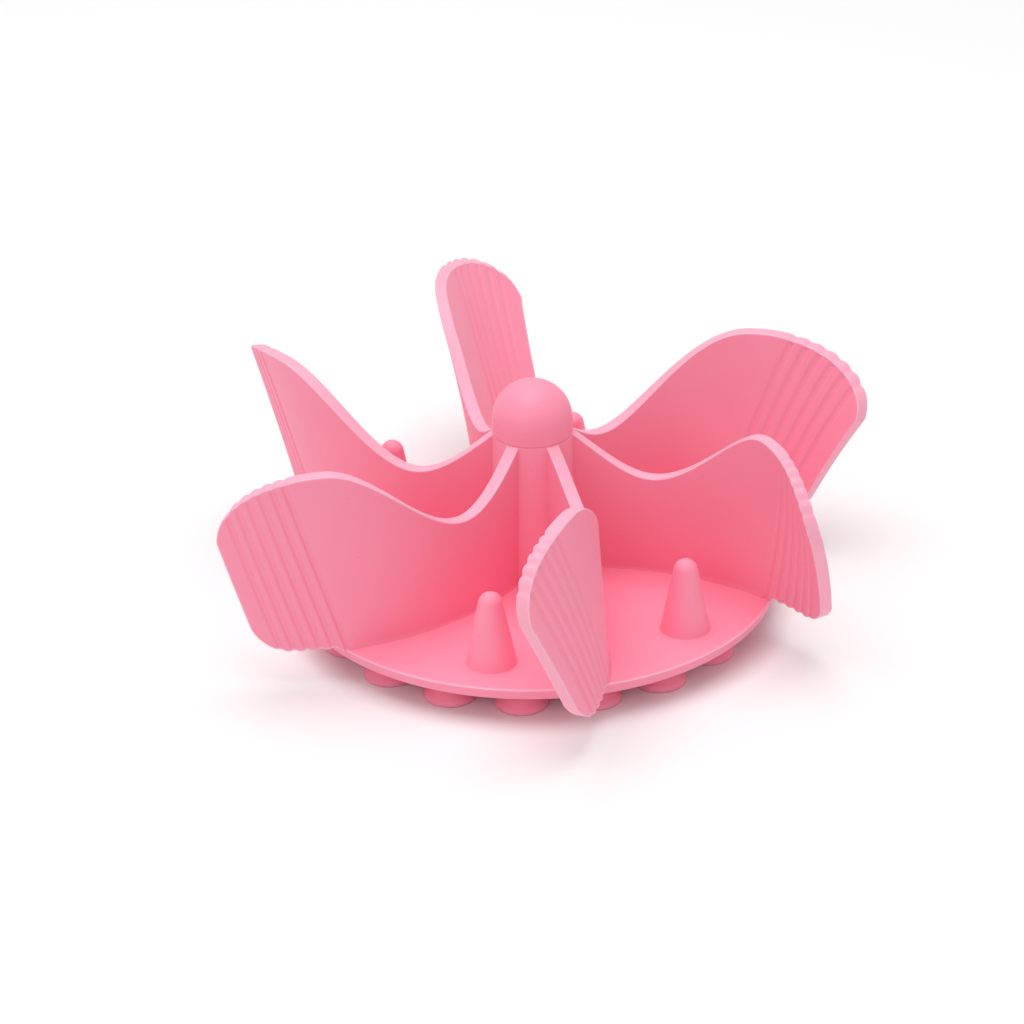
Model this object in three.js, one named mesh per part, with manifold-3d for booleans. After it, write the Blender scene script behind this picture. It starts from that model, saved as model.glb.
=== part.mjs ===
// Slow-feeder bowl insert, moulded in soft silicone.
//
// A round disc stands on rows of suction cups. A post with a domed head stands in its middle, and six
// tall wavy blades run out from the post past the disc's edge, each curling clockwise seen from above.
// Millimetres, +Z up, origin on the centre line in the plane of the disc's underside.

import * as THREE from 'three';
import { mergeVertices } from 'three/addons/utils/BufferGeometryUtils.js';
import Module from 'manifold-3d';

// ---- driving dimensions --------------------------------------------------------------------------

const pieceGap = 0.3;            // left between two pieces that touch
const bladeCount = 6;
const degrees = Math.PI / 180;

// disc
const discRadius = 60;
const discThickness = 4.5;
const discTopRound = 1.2;
const discUnderRound = 2.6;
const gateRecessRadius = 8;       // shallow round recess in the underside, where the mould is filled
const gateRecessDepth = 0.3;

// suction cups: each hangs from a short stem and can be pressed up along it
const cupHeight = 5;             // from the cups' rims to the disc's underside
const cupRadius = 6.5;
const cupRimWidth = 0.9;
const cupCollarWall = 1.1;
const cupCollarHeight = 1.3;
const cupWall = 0.5;
const cupPress = 1.5;
const stemRadius = 1.9;
const stemClearance = 0.3;
const cupRings = [
  { name: 'outer_cup', count: 18, radius: discRadius - 10.5, firstAngle: -94 },
  { name: 'middle_cup', count: 12, radius: 32.5, firstAngle: -94 },
  { name: 'inner_cup', count: 6, radius: 16, firstAngle: -79 },
];

// post and its domed head
const postTopRadius = 9.7;
const postFootRadius = 10.6;
const postHeight = 36.7;         // from the disc's top to the parting line under the head
const headSkirt = 3;

// blades: outline in the flat, along the blade from the post's side and up from the disc's top
const bladeThickness = 3.2;
const bladeStartRadius = 7.7;    // where the centre line's arc length starts
const bladeFirstAngle = -120;    // direction in which the first blade leaves the post
const bladeRootRise = 1.3;       // from the parting line up to the top edge's start inside the post
const bladeRootSlope = -0.76;
const saddleArc = 20.9;
const saddleHeight = 25.5;
const peakInset = 3.5;           // the peak's arc length is the disc's radius less this
const peakHeight = 45.5;
const cornerPastDisc = 22;       // where the rounded top corner meets the straight outer edge
const cornerHeight = 27.8;
const outerEdgeLean = 0.32;      // how far the outer edge runs out for each millimetre of height
const bottomCornerRadius = 7;
const overhangLift = 0.8;        // the overhanging end's bottom edge above the disc's top

// blades: how each one curls, and how its upper edge leans to the side. Soft blades settle unevenly
const curlPower = 1.12;
const curlAtDiscEdge = [53.2, 43, 48.5, 81, 61, 68];
const sideLean = [-0.007, -0.125, -0.115, 0.155, 0.33, 0.12];
const leanReach = 51;            // the side lean grows from the post to full at this arc length

// spikes
const spikeRadius = 6;
const spikeTipRadius = 2.9;
const spikeHeight = 18.4;
const spikeInset = 12;           // from the disc's edge to a spike's centre line
const spikeFirstAngle = -102.4;

// ---- shared places -------------------------------------------------------------------------------

const discTop = discThickness;
const cupRimPlane = -cupHeight;
const cupHole = stemRadius + stemClearance;
const cupCollarRadius = cupHole + cupCollarWall;
const bladeRootHeight = postHeight + bladeRootRise;
const peakArc = discRadius - peakInset;
const cornerArc = discRadius + cornerPastDisc;
const spikeCircleRadius = discRadius - spikeInset;
const bladePitch = 360 / bladeCount;

const silicone = new THREE.MeshStandardMaterial({ color: 0xf58ca5, roughness: 0.55, metalness: 0 });
const part = new THREE.Group();

function addPiece(name, geometry, parent = part) {
  const mesh = new THREE.Mesh(geometry, silicone);
  mesh.name = name;
  parent.add(mesh);
  return mesh;
}

// A turned solid: the profile's [radius, height] points, spun about +Z.
function turned(profile, segments) {
  const points = profile.map(([radius, height]) => new THREE.Vector2(radius, height));
  const geometry = new THREE.LatheGeometry(points, segments);
  geometry.rotateX(Math.PI / 2);
  return geometry;
}

// Points of an arc in a profile, from one angle to the other, both in degrees.
function arcPoints(centreX, centreY, radius, fromAngle, toAngle, steps) {
  const points = [];
  for (let i = 0; i <= steps; i += 1) {
    const angle = (fromAngle + (toAngle - fromAngle) * i / steps) * degrees;
    points.push([centreX + radius * Math.cos(angle), centreY + radius * Math.sin(angle)]);
  }
  return points;
}

// ---- disc with the cups' stems -------------------------------------------------------------------

const wasm = await Module();
wasm.setup();

function toSolid(geometry) {
  const bare = geometry.clone();
  bare.deleteAttribute('normal');
  bare.deleteAttribute('uv');
  const merged = mergeVertices(bare, 1e-4);
  return new wasm.Manifold(new wasm.Mesh({
    numProp: 3,
    vertProperties: new Float32Array(merged.attributes.position.array),
    triVerts: new Uint32Array(merged.index.array),
  }));
}

function toGeometry(solid) {
  const mesh = solid.getMesh();
  const geometry = new THREE.BufferGeometry();
  geometry.setAttribute('position', new THREE.BufferAttribute(new Float32Array(mesh.vertProperties), 3));
  geometry.setIndex(new THREE.BufferAttribute(new Uint32Array(mesh.triVerts), 1));
  geometry.computeVertexNormals();
  return geometry;
}

// Centres of all cups, ring by ring.
function cupPlaces() {
  const places = [];
  for (const ring of cupRings) {
    for (let i = 0; i < ring.count; i += 1) {
      const angle = (ring.firstAngle + i * 360 / ring.count) * degrees;
      places.push({
        name: `${ring.name}_${String(i + 1).padStart(2, '0')}`,
        x: ring.radius * Math.cos(angle),
        y: ring.radius * Math.sin(angle),
      });
    }
  }
  return places;
}

function makeDisc() {
  const profile = [
    [0, gateRecessDepth],
    [gateRecessRadius, gateRecessDepth],
    [gateRecessRadius, 0],
    ...arcPoints(discRadius - discUnderRound, discUnderRound, discUnderRound, -90, 0, 3),
    ...arcPoints(discRadius - discTopRound, discTop - discTopRound, discTopRound, 0, 90, 3),
    [0, discTop],
  ];
  let disc = toSolid(turned(profile, 60));
  const stemBottom = cupRimPlane + cupPress + pieceGap;
  const stemLength = discThickness / 2 - stemBottom;
  for (const place of cupPlaces()) {
    const stem = new THREE.CylinderGeometry(stemRadius, stemRadius, stemLength, 8);
    stem.rotateX(Math.PI / 2);
    stem.translate(place.x, place.y, stemBottom + stemLength / 2);
    disc = disc.add(toSolid(stem));
  }
  return toGeometry(disc);
}

// ---- suction cups --------------------------------------------------------------------------------

// A shallow bell with a collar that slides on the stem. Its rim is a flat ring under the disc.
function makeCup() {
  const collarTop = -cupPress - pieceGap;
  const bellTop = collarTop - cupCollarHeight;
  const profile = [
    [cupRadius - cupRimWidth, cupRimPlane],
    [cupRadius, cupRimPlane],
    [cupRadius, cupRimPlane + cupWall],
    [cupCollarRadius, bellTop + cupWall],
    [cupCollarRadius, collarTop],
    [cupHole, collarTop],
    [cupHole, bellTop],
    [cupRadius - cupRimWidth, cupRimPlane],
  ];
  return turned(profile, 12);
}

// ---- post and head -------------------------------------------------------------------------------

function makePost() {
  const foot = discTop + pieceGap;
  const top = discTop + postHeight;
  return turned([[0, foot], [postFootRadius, foot], [postTopRadius, top], [0, top]], 32);
}

function makeHead() {
  const seam = discTop + postHeight + pieceGap;
  const equator = seam + headSkirt;
  return turned([
    [0, seam],
    [postTopRadius, seam],
    ...arcPoints(0, equator, postTopRadius, 0, 90, 6),
  ], 32);
}

// ---- blades --------------------------------------------------------------------------------------

// A blade's direction against its start, in radians, at an arc length from the post's side.
function heading(blade, arc) {
  return -curlAtDiscEdge[blade] * degrees * (Math.max(arc, 0) / discRadius) ** curlPower;
}

// The centre line's point in the blade's own plan, by adding up short steps along the heading.
function centreLine(blade, arc) {
  const steps = 80;
  const point = new THREE.Vector2(bladeStartRadius, 0);
  for (let i = 0; i < steps; i += 1) {
    const direction = heading(blade, arc * (i + 0.5) / steps);
    point.x += Math.cos(direction) * arc / steps;
    point.y += Math.sin(direction) * arc / steps;
  }
  return point;
}

// The arc length at which the centre line is at a given distance from the axis, by halving.
function arcAtRadius(blade, radius) {
  let near = 0;
  let far = 2 * radius;
  for (let i = 0; i < 40; i += 1) {
    const middle = (near + far) / 2;
    if (centreLine(blade, middle).length() < radius) near = middle;
    else far = middle;
  }
  return (near + far) / 2;
}

// Sideways shift of the blade for each millimetre of height, positive to the left of its heading.
function leanAt(blade, arc) {
  return sideLean[blade] * (Math.min(Math.max(arc, 0), 1.6 * leanReach) / leanReach) ** 2;
}

// From flat blade coordinates (along, up from the disc's top, off the middle) to the part's frame.
function placeOnBlade(blade, arc, height, side) {
  const base = centreLine(blade, arc);
  const direction = heading(blade, arc);
  const offset = side + leanAt(blade, arc) * height;
  const x = base.x - Math.sin(direction) * offset;
  const y = base.y + Math.cos(direction) * offset;
  const turn = (bladeFirstAngle + blade * bladePitch) * degrees;
  return new THREE.Vector3(
    x * Math.cos(turn) - y * Math.sin(turn),
    x * Math.sin(turn) + y * Math.cos(turn),
    discTop + height,
  );
}

// A cubic from one height and slope to another, at a fraction of the way along.
function blendHeight(from, to, fromSlope, toSlope, length, t) {
  return (2 * t ** 3 - 3 * t ** 2 + 1) * from + (t ** 3 - 2 * t ** 2 + t) * length * fromSlope
    + (3 * t ** 2 - 2 * t ** 3) * to + (t ** 3 - t ** 2) * length * toSlope;
}

// Height of the top edge up to the peak: down from the post to the saddle, then up.
function topEdgeHeight(arc) {
  if (arc < saddleArc) {
    const t = Math.max(arc, 0) / saddleArc;
    return blendHeight(bladeRootHeight, saddleHeight, bladeRootSlope, 0, saddleArc, t);
  }
  const t = Math.min((arc - saddleArc) / (peakArc - saddleArc), 1);
  return blendHeight(saddleHeight, peakHeight, 0, 0, peakArc - saddleArc, t);
}

// The top edge past a start, at a fraction of the way: round the top corner, which begins at the peak.
function topEdgePoint(startArc, t) {
  const cornerLength = cornerArc - peakArc;
  const startAngle = Math.asin(Math.max(startArc - peakArc, 0) / cornerLength);
  const angle = startAngle + (Math.PI / 2 - startAngle) * t;
  return [
    peakArc + cornerLength * Math.sin(angle),
    cornerHeight + (peakHeight - cornerHeight) * Math.cos(angle),
  ];
}

// The overhanging end's bottom edge past a start: straight, then round up to the leaning outer edge.
function bottomEdgePoint(startArc, t) {
  const sharpCorner = cornerArc - outerEdgeLean * (cornerHeight - overhangLift);
  const straight = sharpCorner - bottomCornerRadius;
  const cornerShare = 0.4;
  if (t < 1 - cornerShare) {
    return [startArc + (straight - startArc) * t / (1 - cornerShare), overhangLift];
  }
  const angle = (t - 1 + cornerShare) / cornerShare * Math.PI / 2;
  const along = straight + bottomCornerRadius * Math.sin(angle);
  const rise = bottomCornerRadius * (1 - Math.cos(angle));
  return [along + outerEdgeLean * rise, overhangLift + rise];
}

// Bends a box into a blade. The box's long side runs along the blade and its height up it: bottom(t)
// and top(t) give the two edges' [arc, height], and halfWidth(arc) half the thickness there.
function bentSheet(blade, columns, rows, bottom, top, halfWidth) {
  const geometry = new THREE.BoxGeometry(1, 1, 1, columns, 1, rows);
  const position = geometry.attributes.position;
  for (let i = 0; i < position.count; i += 1) {
    const along = position.getX(i) + 0.5;
    const up = position.getZ(i) + 0.5;
    const low = bottom(along);
    const high = top(along);
    const arc = low[0] + (high[0] - low[0]) * up;
    const height = low[1] + (high[1] - low[1]) * up;
    const place = placeOnBlade(blade, arc, height, 2 * position.getY(i) * halfWidth(arc));
    position.setXYZ(i, place.x, place.y, place.z);
  }
  geometry.computeVertexNormals();
  return geometry;
}

// Where the overhanging end bends: over the disc's edge.
function hingeArc(blade) {
  return arcAtRadius(blade, discRadius);
}

// The standing part of a blade, from the post to just short of the bend.
function makeBladeRoot(blade) {
  const end = hingeArc(blade) - bladeThickness / 2 - pieceGap;
  const footStart = postFootRadius + pieceGap - bladeStartRadius;
  const topStart = postTopRadius + pieceGap - bladeStartRadius;
  const bottom = (t) => [footStart + (end - footStart) * t, pieceGap];
  const top = (t) => {
    const arc = topStart + (end - topStart) * t;
    return [arc, topEdgeHeight(arc)];
  };
  return bentSheet(blade, 12, 3, bottom, top, () => bladeThickness / 2);
}

// The overhanging end. Its inner edge is rounded about the bend's axis, so it can swing there.
function makeBladeTip(blade) {
  const axisArc = hingeArc(blade);
  const radius = bladeThickness / 2;
  const noseSteps = [0.05, 0.35, 1];
  const columns = 14;
  const noseShare = noseSteps.length / columns;
  const noseArc = (t) => {
    const step = Math.min(Math.round(t * columns), noseSteps.length - 1);
    return axisArc - radius * (1 - noseSteps[step]);
  };
  const isNose = (t) => t * columns < noseSteps.length - 0.5;
  const rest = (t) => (t - noseShare) / (1 - noseShare);
  const bottom = (t) => {
    if (isNose(t)) return [noseArc(t), overhangLift];
    return bottomEdgePoint(axisArc + radius, rest(t));
  };
  const top = (t) => {
    if (isNose(t)) return [noseArc(t), topEdgeHeight(noseArc(t))];
    return topEdgePoint(axisArc + radius, rest(t));
  };
  const halfWidth = (arc) => {
    const inward = Math.min(Math.max((axisArc - arc) / radius, 0), 1);
    return radius * Math.sqrt(1 - inward ** 2);
  };
  return bentSheet(blade, columns, 4, bottom, top, halfWidth);
}

// ---- spikes --------------------------------------------------------------------------------------

function makeSpike() {
  const foot = discTop + pieceGap;
  const tipCentre = discTop + spikeHeight - spikeTipRadius;
  return turned([
    [0, foot],
    [spikeRadius, foot],
    [spikeTipRadius, tipCentre],
    ...arcPoints(0, tipCentre, spikeTipRadius, 25, 90, 3),
  ], 14);
}

// ---- assembly ------------------------------------------------------------------------------------

addPiece('base_disc', makeDisc());
addPiece('centre_post', makePost());
addPiece('post_dome', makeHead());

for (let blade = 0; blade < bladeCount; blade += 1) {
  addPiece(`blade_root_${blade + 1}`, makeBladeRoot(blade));
  addPiece(`blade_tip_${blade + 1}`, makeBladeTip(blade));
}

for (let i = 0; i < bladeCount; i += 1) {
  const angle = (spikeFirstAngle + i * bladePitch) * degrees;
  const spike = addPiece(`spike_${i + 1}`, makeSpike());
  spike.position.set(spikeCircleRadius * Math.cos(angle), spikeCircleRadius * Math.sin(angle), 0);
}

for (const place of cupPlaces()) {
  const cup = addPiece(place.name, makeCup());
  cup.position.set(place.x, place.y, 0);
}

export default part;
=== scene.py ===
"""A slow-feeder insert for a pet bowl, moulded in one piece from soft pink silicone.

A round disc stands on rows of small suction cups. A post with a domed head rises from its middle, and
six tall wavy blades run from the post out past the disc's edge, curling as they go. Metres, +Z up.
"""

import math

import bpy
import numpy as np
from mathutils import Matrix, Vector


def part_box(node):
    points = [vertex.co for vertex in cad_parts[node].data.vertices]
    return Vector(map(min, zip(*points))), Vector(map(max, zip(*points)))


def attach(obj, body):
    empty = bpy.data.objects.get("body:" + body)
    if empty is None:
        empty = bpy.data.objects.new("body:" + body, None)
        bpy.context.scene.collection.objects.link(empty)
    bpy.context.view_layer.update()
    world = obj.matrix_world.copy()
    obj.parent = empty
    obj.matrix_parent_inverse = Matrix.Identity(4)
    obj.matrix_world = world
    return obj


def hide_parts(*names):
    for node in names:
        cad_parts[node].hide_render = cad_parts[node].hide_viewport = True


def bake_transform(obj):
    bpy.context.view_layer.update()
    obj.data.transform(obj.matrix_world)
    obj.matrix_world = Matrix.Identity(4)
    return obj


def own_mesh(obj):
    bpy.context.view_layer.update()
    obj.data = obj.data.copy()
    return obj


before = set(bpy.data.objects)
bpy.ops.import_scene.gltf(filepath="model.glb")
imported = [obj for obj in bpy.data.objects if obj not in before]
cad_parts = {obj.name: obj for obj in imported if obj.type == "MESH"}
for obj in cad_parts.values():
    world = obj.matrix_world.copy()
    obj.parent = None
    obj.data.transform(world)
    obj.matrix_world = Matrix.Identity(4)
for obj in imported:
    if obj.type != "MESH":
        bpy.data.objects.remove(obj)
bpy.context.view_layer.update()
mm = 0.001


# ---- camera --------------------------------------------------------------------------------------
# A long lens on a tripod, three quarters of a metre away and a little under thirty degrees up, aimed
# at the middle of the disc's top. The tripod's head leans by less than a degree.

camera_distance = 0.780
camera_elevation = 0.5005
camera_roll = -0.0148
lens_length = 111.6
lens_shift = (-0.0219, 0.0511)

disc_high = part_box("base_disc")[1]
aim = Vector((0, 0, disc_high[2]))
away = Vector((0, -math.cos(camera_elevation), math.sin(camera_elevation)))

camera = bpy.data.objects.new("camera", bpy.data.cameras.new("camera"))
bpy.context.scene.collection.objects.link(camera)
bpy.context.scene.camera = camera
camera.data.sensor_width = 36
camera.data.lens = lens_length
camera.data.shift_x, camera.data.shift_y = lens_shift
upright = (-away).to_track_quat("-Z", "Y").to_matrix().to_4x4()
camera.matrix_world = (
    Matrix.Translation(aim + camera_distance * away) @ upright @ Matrix.Rotation(camera_roll, 4, "Z")
)


# ---- silicone ------------------------------------------------------------------------------------
# Platinum-cured silicone, about 40 Shore A, coloured in the mass with a warm pink pigment. It leaves a
# blasted steel mould, so its skin is matte with a faint bloom, and it picks up a little dust.

pigment = (0.985, 0.305, 0.435, 1)
pigment_deep = (0.985, 0.28, 0.41, 1)
# painted highlight: the pale colour laid along sharp edges in place of their shine
painted_highlight_tint = (0.93, 0.60, 0.74, 1)
dust_tint = (0.45, 0.12, 0.17, 1)
skin_roughness = 0.5
roughness_spread = 0.10
grain_size = 0.9 * mm
waviness_size = 14 * mm
dust_cell = 5 * mm / 12
dust_threshold = 0.865
dust_strength = 0.5
# how far the painted edge highlight goes towards its pale colour
painted_highlight_strength = 0.75
grain_relief = 0.05 * mm


class Wire:
    """A shader socket. Arithmetic on it adds Math nodes, so a formula reads as it is written."""

    def __init__(self, recipe, socket):
        self.recipe = recipe
        self.socket = socket

    def _math(self, operation, first, second):
        return self.recipe.node("ShaderNodeMath", {"operation": operation}, {0: first, 1: second})

    def __add__(self, other):
        return self._math("ADD", self, other)

    def __sub__(self, other):
        return self._math("SUBTRACT", self, other)

    def __rsub__(self, other):
        return self._math("SUBTRACT", other, self)

    def __mul__(self, other):
        return self._math("MULTIPLY", self, other)

    def __gt__(self, other):
        return self._math("GREATER_THAN", self, other)

    __radd__ = __add__
    __rmul__ = __mul__


class Recipe:
    """A material's node tree, written from its inputs towards its surface."""

    def __init__(self, name):
        self.material = bpy.data.materials.new(name)
        self.material.use_nodes = True
        self.tree = self.material.node_tree
        self.surface = self.tree.nodes["Principled BSDF"]

    def put(self, socket, value):
        if isinstance(value, Wire):
            self.tree.links.new(value.socket, socket)
        else:
            socket.default_value = value

    def node(self, kind, settings, sockets, output=0):
        """Adds a node: its settings first, then each socket's value or link. Gives one output."""
        made = self.tree.nodes.new(kind)
        for key, value in settings.items():
            setattr(made, key, value)
        for key, value in sockets.items():
            self.put(made.inputs[key], value)
        return Wire(self, made.outputs[output])


def make_silicone():
    """Mixes two close pinks by a slow noise, paints a pale highlight along the sharp edges, and lets
    fine noise move the roughness and the height."""
    recipe = Recipe("silicone")
    place = recipe.node("ShaderNodeTexCoord", {}, {}, "Object")
    noise = "ShaderNodeTexNoise"
    slow = recipe.node(noise, {}, {"Vector": place, "Scale": 1 / waviness_size, "Detail": 2.0})
    grain = recipe.node(noise, {}, {"Vector": place, "Scale": 1 / grain_size, "Detail": 3.0})
    speck = recipe.node(noise, {}, {"Vector": place, "Scale": 1 / dust_cell, "Detail": 0.0})
    dust = (speck > dust_threshold) * dust_strength
    mix, colours = "ShaderNodeMix", {"data_type": "RGBA"}
    pink = recipe.node(mix, colours, {"Factor": slow, 6: pigment, 7: pigment_deep}, 2)
    # the edge attribute says where the painted highlight is mixed in
    edge = recipe.node("ShaderNodeAttribute", {"attribute_name": "edge"}, {}, "Fac")
    with_painted_highlight = recipe.node(mix, colours, {"Factor": painted_highlight_strength * edge, 6: pink, 7: painted_highlight_tint}, 2)
    dusty = recipe.node(mix, colours, {"Factor": dust, 6: with_painted_highlight, 7: dust_tint}, 2)
    recipe.put(recipe.surface.inputs["Base Color"], dusty)
    recipe.put(recipe.surface.inputs["Roughness"], skin_roughness + roughness_spread * (grain - 0.5))
    height = 0.7 * grain + 0.3 * slow
    bump = recipe.node("ShaderNodeBump", {}, {"Strength": 0.18, "Distance": grain_relief, "Height": height})
    recipe.put(recipe.surface.inputs["Normal"], bump)
    recipe.surface.inputs["IOR"].default_value = 1.41
    recipe.surface.inputs["Specular IOR Level"].default_value = 0.6
    recipe.surface.inputs["Sheen Weight"].default_value = 0.12
    recipe.surface.inputs["Sheen Roughness"].default_value = 0.45
    recipe.surface.inputs["Sheen Tint"].default_value = (0.92, 0.86, 1, 1)
    return recipe.material


silicone = make_silicone()


# ---- disc ----------------------------------------------------------------------------------------
# The floor of the insert: a 4.5 mm slab of silicone, 120 mm across. Its side is a 3 mm band between two
# crisp edges, and the underside slopes in below it so that the insert comes out of the mould.

disc_radius = disc_high[0]
disc_top = disc_high[2]
disc_crown = 0.25 * mm
disc_crown_start = 55 * mm
disc_crown_round = 20 * mm
disc_lip = 0.8 * mm
disc_edge_round = 0.4 * mm
disc_side = 3 * mm
disc_side_draft = 0.8 * mm
disc_side_round = 0.4 * mm
disc_under_slope = 5 * mm
disc_under_round = 3 * mm
gate_recess_radius = 8 * mm
gate_recess_depth = 0.3 * mm
# a painted highlight along the disc's top rim: full within 0.3 mm of the rim, gone 0.35 mm further on
rim_highlight_start = 0.3 * mm
rim_highlight_fade = 0.35 * mm


def rounded(corners, steps=8):
    """A profile with round corners: each (r, z, radius) becomes an arc that touches both its sides.

    The arc starts and ends radius / tan(half the corner's angle) from the corner.
    """
    points = []
    for index, (r, z, radius) in enumerate(corners):
        here = np.array((r, z))
        if radius == 0 or index in (0, len(corners) - 1):
            points.append(here[None])
            continue
        back = np.array(corners[index - 1][:2]) - here
        ahead = np.array(corners[index + 1][:2]) - here
        back /= np.linalg.norm(back)
        ahead /= np.linalg.norm(ahead)
        half = np.arccos(np.clip(back @ ahead, -1, 1)) / 2
        centre = here + (back + ahead) / np.linalg.norm(back + ahead) * radius / np.sin(half)
        start = here + back * radius / np.tan(half) - centre
        sweep = np.pi - 2 * half
        if back[0] * ahead[1] - back[1] * ahead[0] > 0:
            sweep = -sweep
        turn = np.linspace(0, sweep, steps + 1)
        along = start[0] * np.cos(turn) - start[1] * np.sin(turn)
        up = start[0] * np.sin(turn) + start[1] * np.cos(turn)
        points.append(centre + np.stack((along, up), axis=1))
    return np.concatenate(points)


def outward(vertices, quads, triangles):
    """Turns all faces round if the volume inside them, summed over wedges to the origin, is negative."""
    wedges = np.concatenate((triangles, quads[:, :3], quads[:, [0, 2, 3]]))
    a, b, c = (vertices[wedges[:, i]] for i in range(3))
    if np.einsum("ij,ij->i", a, np.cross(b, c)).sum() < 0:
        return quads[:, ::-1], triangles[:, ::-1]
    return quads, triangles


def make_piece(name, vertices, quads, triangles, body, edge=None):
    """Puts the arrays into a smooth-shaded mesh of silicone that rides on a body, when one is given.

    edge is the strength of the painted highlight at each vertex: 1 on a sharp outer edge and 0 away from
    it.
    """
    quads, triangles = outward(vertices, quads, triangles)
    mesh = bpy.data.meshes.new(name)
    mesh.from_pydata(vertices.tolist(), [], quads.tolist() + triangles.tolist())
    mesh.polygons.foreach_set("use_smooth", np.ones(len(mesh.polygons), bool))
    mesh.materials.append(silicone)
    if edge is not None:
        # the painted highlight, stored as the edge attribute
        mesh.attributes.new("edge", "FLOAT", "POINT").data.foreach_set("value", edge.astype(np.float32))
    piece = bpy.data.objects.new(name, mesh)
    bpy.context.scene.collection.objects.link(piece)
    if body:
        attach(piece, body)
    return piece


def turned(profile, segments, centre=(0, 0)):
    """Arrays for a solid of revolution about a vertical line through centre.

    Each profile point (r, z) becomes the ring (r cos a, r sin a, z). The first and last points lie on
    the axis and become one vertex each.
    """
    angle = np.arange(segments) * 2 * np.pi / segments
    r, z = profile[1:-1].T
    rings = len(r)
    ring_points = np.stack(
        (
            centre[0] + np.outer(r, np.cos(angle)),
            centre[1] + np.outer(r, np.sin(angle)),
            np.repeat(z[:, None], segments, axis=1),
        ),
        axis=2,
    )
    poles = np.array([(centre[0], centre[1], profile[0, 1]), (centre[0], centre[1], profile[-1, 1])])
    vertices = np.concatenate((ring_points.reshape(-1, 3), poles))
    number = np.arange(rings * segments).reshape(rings, segments)
    beside = np.roll(number, -1, axis=1)
    quads = np.stack((number[:-1], beside[:-1], beside[1:], number[1:]), axis=2).reshape(-1, 4)
    first, last = rings * segments, rings * segments + 1
    triangles = np.concatenate(
        (
            np.stack((np.full(segments, first), beside[0], number[0]), axis=1),
            np.stack((np.full(segments, last), number[-1], beside[-1]), axis=1),
        )
    )
    return vertices, quads, triangles


disc_profile = rounded(
    [
        (0, gate_recess_depth, 0),
        (gate_recess_radius, gate_recess_depth, 0.1 * mm),
        (gate_recess_radius, 0, 0.15 * mm),
        (disc_radius - disc_under_slope, 0, disc_under_round),
        (disc_radius - disc_side_draft, disc_top - disc_side, disc_side_round),
        (disc_radius, disc_top - disc_crown, disc_edge_round),
        (disc_radius - disc_lip, disc_top - 0.85 * disc_crown, 0),
        (disc_crown_start, disc_top, disc_crown_round),
        (0, disc_top, 0),
    ]
)
disc_vertices, disc_quads, disc_triangles = turned(disc_profile, 240)
# painted highlight along the top rim, stored as the edge attribute
rim_distance = np.hypot(
    np.hypot(disc_vertices[:, 0], disc_vertices[:, 1]) - disc_radius, disc_vertices[:, 2] - disc_top
)
rim_painted_highlight = np.clip(1 - (rim_distance - rim_highlight_start) / rim_highlight_fade, 0, 1)
disc = make_piece("feeder_disc", disc_vertices, disc_quads, disc_triangles, "base", rim_painted_highlight)
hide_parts("base_disc")


# ---- post and domed head -------------------------------------------------------------------------
# The stiff middle of the insert, a slightly tapered solid post that meets the disc in a tight fillet.
# The domed head is filled by the mould's other half, which leaves a fine line under it.

post_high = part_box("centre_post")[1]
dome_low, dome_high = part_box("post_dome")
post_foot_radius = post_high[0]
post_top_radius = dome_high[0]
post_seam = post_high[2]
post_fillet = 0.5 * mm
root_spread = 2.4 * mm
root_depth = 0.5 * disc_top
sink = 0.05 * mm
seam_round = 0.28 * mm
dome_skirt = dome_high[2] - post_top_radius - dome_low[2]

post_profile = rounded(
    [
        (0, root_depth, 0),
        (post_foot_radius + root_spread, root_depth, 0),
        (post_foot_radius + root_spread, disc_top - sink, 0),
        (post_foot_radius, disc_top - sink, post_fillet),
        (post_top_radius, post_seam, seam_round),
        (0, post_seam, 0),
    ]
)
post = make_piece("post", *turned(post_profile, 128), "base")
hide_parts("centre_post")

dome_rise = np.linspace(0, np.pi / 2, 28)
skirt = rounded(
    [
        (0, post_seam, 0),
        (post_top_radius, post_seam, seam_round),
        (post_top_radius, post_seam + dome_skirt, 0),
    ]
)
crown_radius = post_top_radius * np.cos(dome_rise)
crown_height = dome_high[2] - post_top_radius * (1 - np.sin(dome_rise))
dome_profile = np.concatenate((skirt[:-1], np.stack((crown_radius, crown_height), axis=1)))
dome_profile[-1, 0] = 0
dome = make_piece("domed_head", *turned(dome_profile, 128), "base")
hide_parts("post_dome")


# ---- blades --------------------------------------------------------------------------------------
# Six wavy walls, 3.2 mm thick, in one moulding with the post and disc. Each dips to a saddle, rises to
# a round peak and overhangs the disc. The overhang can be trimmed to fit a smaller bowl, so both its
# faces carry six grooves to cut along. Soft walls settle unevenly, so each curls by its own amount.

blade_thickness = 3.2 * mm
blade_edge_round = 0.32 * mm
# where the painted highlight line runs along the blades' sharp edges
highlight_line_inset = 0.2 * mm
highlight_line_width = 0.22 * mm
blade_start_radius = 7.7 * mm
blade_first_angle = math.radians(-120)
curl_at_disc_edge = np.radians([53.2, 43, 48.5, 81, 61, 68])
curl_power = 1.12
side_lean = [-0.007, -0.125, -0.115, 0.155, 0.33, 0.12]
lean_reach = 51 * mm
blade_root_height = 38 * mm
blade_root_slope = -0.76
saddle = (20.9 * mm, 25.5 * mm)
peak = (56.5 * mm, 45.5 * mm)
corner = (82 * mm, 27.8 * mm)
end_slant = 0.32
first_groove_slant = 0.29
first_groove = 53 * mm
groove_pitch = 3.0 * mm
groove_count = 6
groove_width = 0.66 * mm
groove_depth = 0.45 * mm
scallop_depth = 0.32 * mm
scallop_width = 0.85 * mm
bottom_corner_radius = 7 * mm
overhang_lift = 0.35 * mm
foot_depth = 1.5 * mm
foot_fillet = 0.45 * mm
post_side_fillet = 0.4 * mm
blade_end = corner[0] - end_slant * corner[1]
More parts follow.
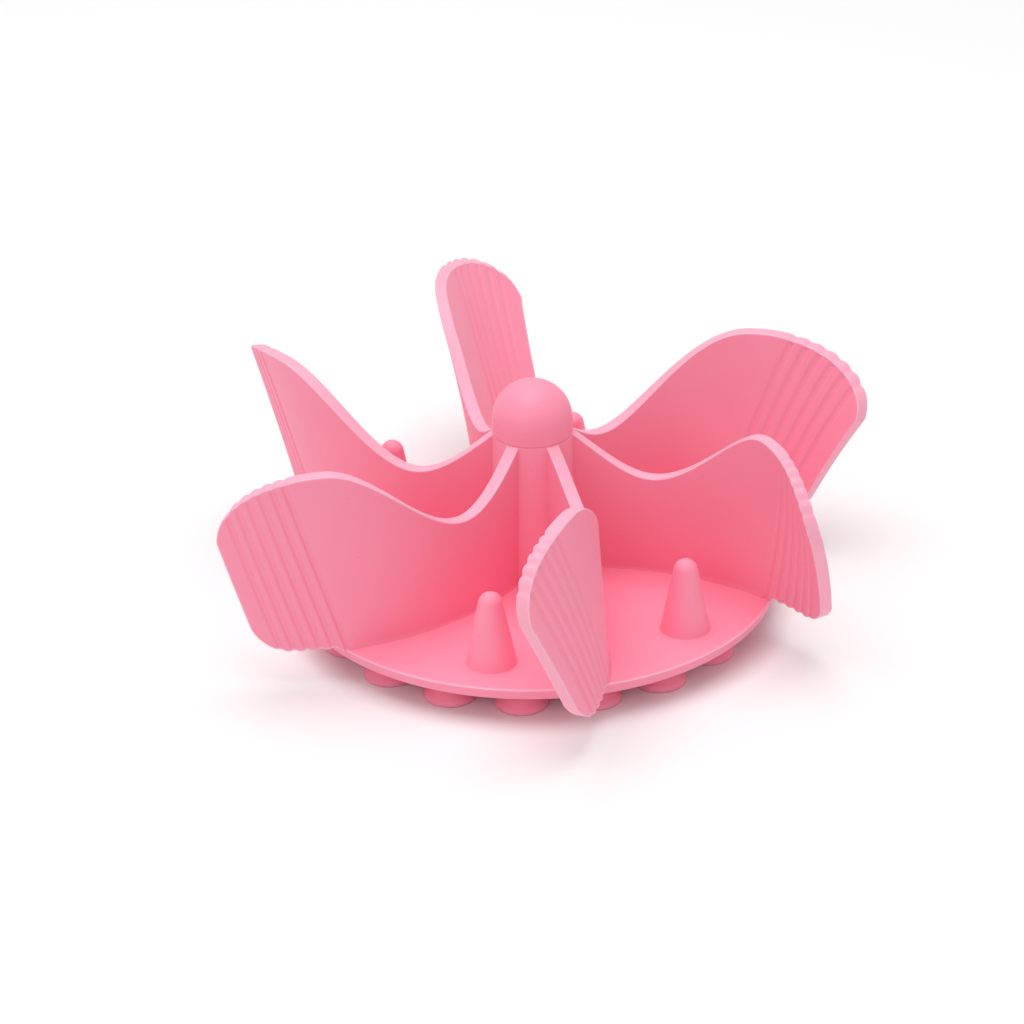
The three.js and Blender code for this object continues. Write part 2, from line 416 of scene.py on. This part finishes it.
groove_run_out = 0.35
bend_start = -1 * mm
bend_end = 8 * mm
foot_end = 0.6 * mm


def smooth(value, low, high):
    """0 below low, 1 above high, and 3t^2 - 2t^3 between them."""
    t = np.clip((value - low) / (high - low), 0, 1)
    return t * t * (3 - 2 * t)


def hermite(t, length, start, end, start_slope):
    """A cubic from start to end over length, with a slope at its start and none at its end."""
    rise = (2 * t**3 - 3 * t**2 + 1) * start + (3 * t**2 - 2 * t**3) * end
    return rise + (t**3 - 2 * t**2 + t) * length * start_slope


def top_outline():
    """The top edge in the flat, as (arc length, height): a cubic down to the saddle, one up to the
    peak, and a quarter of an ellipse down to the corner."""
    down = np.linspace(0, 1, 120)
    up = np.linspace(0, 1, 240)[1:]
    turn = np.linspace(0, np.pi / 2, 240)[1:]
    arc = np.concatenate(
        (
            saddle[0] * down,
            saddle[0] + (peak[0] - saddle[0]) * up,
            peak[0] + (corner[0] - peak[0]) * np.sin(turn),
        )
    )
    height = np.concatenate(
        (
            hermite(down, saddle[0], blade_root_height, saddle[1], blade_root_slope),
            hermite(up, peak[0] - saddle[0], saddle[1], peak[1], 0),
            corner[1] + (peak[1] - corner[1]) * np.cos(turn),
        )
    )
    return arc, height


def slant(base):
    """How far a column of the sheet leans out for each metre of height: not at all at the post, and
    like the grooves and then like the outer edge past the disc."""
    on_disc = first_groove_slant * smooth(base, 24 * mm, first_groove)
    return on_disc + (end_slant - first_groove_slant) * smooth(base, first_groove, blade_end)


def groove_shape(base, width, power):
    """1 along each groove and 0 on the lands between: exp(-|distance / width|^power), summed."""
    centres = first_groove + groove_pitch * np.arange(groove_count)
    return np.exp(-(np.abs((np.asarray(base)[..., None] - centres) / width) ** power)).sum(axis=-1)


def fillet(distance, radius):
    """How far a concave quarter round stands off its wall, at a distance from the corner."""
    reach = np.clip(distance, 0, radius)
    return radius - np.sqrt(radius**2 - (radius - reach) ** 2)


def column_bases():
    """Where the columns stand along the blade: closer at the grooves and at the rounded outer edge."""
    plain = np.linspace(1.2 * mm, 52 * mm, 74)
    grooved = np.arange(52.15 * mm, blade_end - 1.5 * mm, 0.15 * mm)
    to_edge = np.array([1.3, 1.0, 0.75, 0.55, 0.42, 0.32, 0.24, 0.16, 0.09, 0.04, 0.01, 0]) * mm
    return np.concatenate((plain, grooved, blade_end - to_edge))


def row_heights(low, high):
    """Heights of the rows from low to high, one line for each column: closer at the rounded edges."""
    close = np.array([0, 0.01, 0.04, 0.09, 0.16, 0.24, 0.32, 0.42, 0.6, 0.85, 1.2]) * mm
    span = np.linspace(0, 1, 46)[None, 1:-1]
    inner_low, inner_high = low + close[-1], high - close[-1]
    middle = inner_low[:, None] + (inner_high - inner_low)[:, None] * span
    return np.concatenate((low[:, None] + close, middle, high[:, None] - close[::-1]), axis=1)


def flat_blade(hinge_arc):
    """Columns by rows of arc length, height, half the thickness and edge, a painted highlight, for a blade
    in the flat.

    The half thickness rounds off towards the outline, sinks into the grooves and swells into a fillet at
    the foot. edge is a painted highlight along the sharp outer edges, a narrow bell, exp(-(distance from
    the outline - 0.2 mm)^2 / width^2).
    """
    base = column_bases()
    arc_line, height_line = top_outline()
    # a column meets the top edge where the edge's own base, arc - slant x height, is the column's base
    lean_line = slant(base)
    edge_base = np.stack([arc_line - lean * height_line for lean in lean_line])
    high = np.array([np.interp(b, line, height_line) for b, line in zip(base, edge_base)])
    past_corner = (base - blade_end + bottom_corner_radius) / bottom_corner_radius
    corner_turn = np.arcsin(np.clip(past_corner, 0, 1))
    low = overhang_lift + bottom_corner_radius * (1 - np.cos(corner_turn))
    on_disc = 1 - smooth(base, hinge_arc + bend_start, hinge_arc + foot_end)
    low = low * (1 - on_disc) - foot_depth * on_disc
    grooves = groove_shape(base, groove_width, 4)
    scallops = groove_shape(base, scallop_width, 2)
    high = high - scallop_depth * scallops
    low = low + scallop_depth * scallops * (1 - on_disc)
    height = row_heights(low, high)
    arc = base[:, None] + lean_line[:, None] * height
    above_low, below_high = height - low[:, None], high[:, None] - height
    from_end = (blade_end - base)[:, None]
    margin = np.minimum(np.minimum(above_low, below_high), from_end)
    inside = np.clip(1 - margin / blade_edge_round, 0, 1)
    half = blade_thickness / 2 - blade_edge_round * (1 - np.sqrt(1 - inside**2))
    fade = smooth(margin, 0.1 * mm, 1.0 * mm)
    half = half - groove_depth * grooves[:, None] * (groove_run_out + (1 - groove_run_out) * fade)
    half = half + fillet(height, foot_fillet) * smooth(hinge_arc - arc, 0.2 * mm, 2.5 * mm)
    # edge paints a highlight along the top, the outer end and, past the disc, the underside
    outer_margin = np.minimum(below_high, from_end)
    lower_margin = np.where(on_disc[:, None] > 0.5, blade_thickness, above_low)
    edge = np.exp(-(((np.minimum(outer_margin, lower_margin) - highlight_line_inset) / highlight_line_width) ** 2))
    return arc, height, half, edge


def blade_line(blade):
    """The blade's centre line in its own plan: heading -curl (arc / disc radius)^power, summed."""
    step = 0.1 * mm
    arc = np.arange(0, 110 * mm, step)
    heading = -curl_at_disc_edge[blade] * (arc / disc_radius) ** curl_power
    middle = -curl_at_disc_edge[blade] * ((arc[:-1] + step / 2) / disc_radius) ** curl_power
    x = blade_start_radius + np.concatenate(((0,), np.cumsum(np.cos(middle)) * step))
    y = np.concatenate(((0,), np.cumsum(np.sin(middle)) * step))
    return arc, heading, x, y


def place_on_blade(blade, arc, height, side):
    """Flat blade coordinates to the part's frame: along the centre line, up, and off it to the left.

    The upper edge leans to the side by lean x (arc / reach)^2 for each metre of height.
    """
    line_arc, line_heading, line_x, line_y = blade_line(blade)
    heading = np.interp(arc, line_arc, line_heading)
    lean = side_lean[blade] * (np.clip(arc, 0, 1.6 * lean_reach) / lean_reach) ** 2
    offset = side + lean * height
    x = np.interp(arc, line_arc, line_x) - np.sin(heading) * offset
    y = np.interp(arc, line_arc, line_y) + np.cos(heading) * offset
    turn = blade_first_angle + blade * math.tau / 6
    along = x * np.cos(turn) - y * np.sin(turn)
    across = x * np.sin(turn) + y * np.cos(turn)
    return np.stack((along, across, disc_top + height), axis=-1)


def sheet_faces(columns, rows):
    """Quads for two facing grids of columns by rows, joined by a band round their edges."""
    left = np.arange(columns * rows).reshape(columns, rows)
    right = left + columns * rows
    face = np.stack((left[:-1, :-1], left[1:, :-1], left[1:, 1:], left[:-1, 1:]), axis=2).reshape(-1, 4)
    border = np.concatenate((left[:-1, 0], left[-1, :-1], left[:0:-1, -1], left[0, :0:-1]))
    ahead = np.roll(border, -1)
    band = np.stack((border, border + columns * rows, ahead + columns * rows, ahead), axis=1)
    return np.concatenate((face, face[:, ::-1] + columns * rows, band))


def arc_at_disc_edge(blade):
    """The arc length at which the blade's centre line crosses the disc's edge."""
    arc, _, x, y = blade_line(blade)
    return np.interp(disc_radius, np.hypot(x, y), arc)


def make_blade(blade):
    """Both faces of a blade, half the thickness to each side of its middle, joined into one piece."""
    hinge_arc = arc_at_disc_edge(blade)
    arc, height, half, edge = flat_blade(hinge_arc)
    middle = place_on_blade(blade, arc, height, 0)
    off_post = np.hypot(middle[..., 0], middle[..., 1]) - post_top_radius
    half = half + fillet(np.clip(off_post, 0.05 * mm, None), post_side_fillet) * (off_post > 0)
    faces = [place_on_blade(blade, arc, height, side * half) for side in (1, -1)]
    vertices = np.concatenate([face.reshape(-1, 3) for face in faces])
    quads = sheet_faces(*arc.shape)
    number = blade + 1
    # the painted highlight, once for each face
    edges = np.concatenate((edge.ravel(), edge.ravel()))
    piece = make_piece(f"blade_{number}", vertices, quads, np.empty((0, 3), int), None, edges)
    tuple(place_on_blade(blade, hinge_arc + bend_start, 0, 0))
    tuple(place_on_blade(blade, hinge_arc + bend_end, 0, 0))
    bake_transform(piece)
    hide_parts(f"blade_root_{number}", f"blade_tip_{number}")


for blade in range(6):
    make_blade(blade)


# ---- spikes --------------------------------------------------------------------------------------
# Six blunt solid cones, one between each two blades, that part the food near the rim. Each tapers to a
# round tip and meets the disc in a tight fillet.

spike_radius = 6 * mm
spike_tip_radius = 2.9 * mm
spike_fillet = 0.45 * mm
spike_spread = 2 * mm
tip_start = math.radians(14)

for number in range(1, 7):
    spike_low, spike_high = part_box(f"spike_{number}")
    spike_centre = ((spike_low[0] + spike_high[0]) / 2, (spike_low[1] + spike_high[1]) / 2)
    tip_centre = spike_high[2] - spike_tip_radius
    tip_turn = np.linspace(tip_start, np.pi / 2, 14)
    tip_height = tip_centre + spike_tip_radius * np.sin(tip_turn)
    tip = np.stack((spike_tip_radius * np.cos(tip_turn), tip_height), axis=1)
    tip[-1, 0] = 0
    side = rounded(
        [
            (0, root_depth, 0),
            (spike_radius + spike_spread, root_depth, 0),
            (spike_radius + spike_spread, disc_top - sink, 0),
            (spike_radius, disc_top - sink, spike_fillet),
            (tip[0, 0], tip[0, 1], 0),
        ]
    )
    spike = make_piece(
        f"soft_spike_{number}", *turned(np.concatenate((side[:-1], tip)), 64, spike_centre), "base"
    )
    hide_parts(f"spike_{number}")


# ---- suction cups --------------------------------------------------------------------------------
# Shallow bells of the same silicone on short necks under the disc, built here at rest. Pressed down, each
# bell flattens against its neck, so the whole cup gets lower by 1.5 mm while the disc comes down to it.

cup_rim_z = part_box("outer_cup_01")[0][2]
cup_radius = 6.5 * mm
cup_lip = 0.9 * mm
cup_neck_radius = 2.7 * mm
cup_crown_radius = 3.6 * mm
cup_hollow = 2.7 * mm
cup_root = 0.8 * mm

cup_profile = rounded(
    [
        (0, cup_root, 0),
        (cup_neck_radius + cup_root, cup_root, 0),
        (cup_neck_radius + cup_root, 0, 0),
        (cup_neck_radius, 0, 0.6 * mm),
        (cup_neck_radius, -1.3 * mm, 0.5 * mm),
        (cup_crown_radius, -1.5 * mm, 1.2 * mm),
        (cup_radius - 0.3 * mm, cup_rim_z + 1.1 * mm, 1.5 * mm),
        (cup_radius, cup_rim_z, 0.25 * mm),
        (cup_radius - cup_lip, cup_rim_z, 0.2 * mm),
        (cup_crown_radius, cup_rim_z + cup_hollow - 0.6 * mm, 1.6 * mm),
        (0, cup_rim_z + cup_hollow, 0),
    ],
    steps=5,
)
cup_rings = {"outer_cup": 18, "middle_cup": 12, "inner_cup": 6}

for ring, count in cup_rings.items():
    for number in range(1, count + 1):
        node = f"{ring}_{number:02d}"
        cup_low, cup_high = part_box(node)
        cup_centre = ((cup_low[0] + cup_high[0]) / 2, (cup_low[1] + cup_high[1]) / 2)
        cup = make_piece(f"suction_{node}", *turned(cup_profile, 48, cup_centre), "base")
        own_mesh(cup)
        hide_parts(node)


# ---- floor and light -----------------------------------------------------------------------------
# A white sheet of paper with even light from all round, a broad soft box overhead and a weaker one in
# front, as small goods are lit for a plain background.

floor_mesh = bpy.data.meshes.new("floor")
floor_mesh.from_pydata([(-6, -6, 0), (6, -6, 0), (6, 6, 0), (-6, 6, 0)], [], [(0, 1, 2, 3)])
floor_mesh.transform(Matrix.Translation((0, 0, cup_rim_z - 0.1 * mm)))
floor = bpy.data.objects.new("floor", floor_mesh)
bpy.context.scene.collection.objects.link(floor)
paper = Recipe("paper")
paper.put(paper.surface.inputs["Base Color"], (0.9, 0.9, 0.9, 1))
paper.put(paper.surface.inputs["Roughness"], 0.9)
floor_mesh.materials.append(paper.material)


def soft_box(name, size, power, place):
    """A square area light that faces the insert."""
    light = bpy.data.lights.new(name, "AREA")
    light.size = size
    light.energy = power
    lamp = bpy.data.objects.new(name, light)
    lamp.location = place
    lamp.rotation_euler = (-Vector(place)).to_track_quat("-Z", "Y").to_euler()
    bpy.context.scene.collection.objects.link(lamp)


soft_box("overhead", 1.2, 12.5, (-0.1, 0.05, 1.3))
soft_box("front", 1.0, 2, (-0.7, -1.3, 0.8))

world = bpy.data.worlds.new("studio")
world.use_nodes = True
world.node_tree.nodes["Background"].inputs["Color"].default_value = (1, 1, 1, 1)
world.node_tree.nodes["Background"].inputs["Strength"].default_value = 0.58
bpy.context.scene.world = world
bpy.context.scene.view_settings.view_transform = "Standard"


# ---- final update --------------------------------------------------------------------------------

bpy.context.view_layer.update()
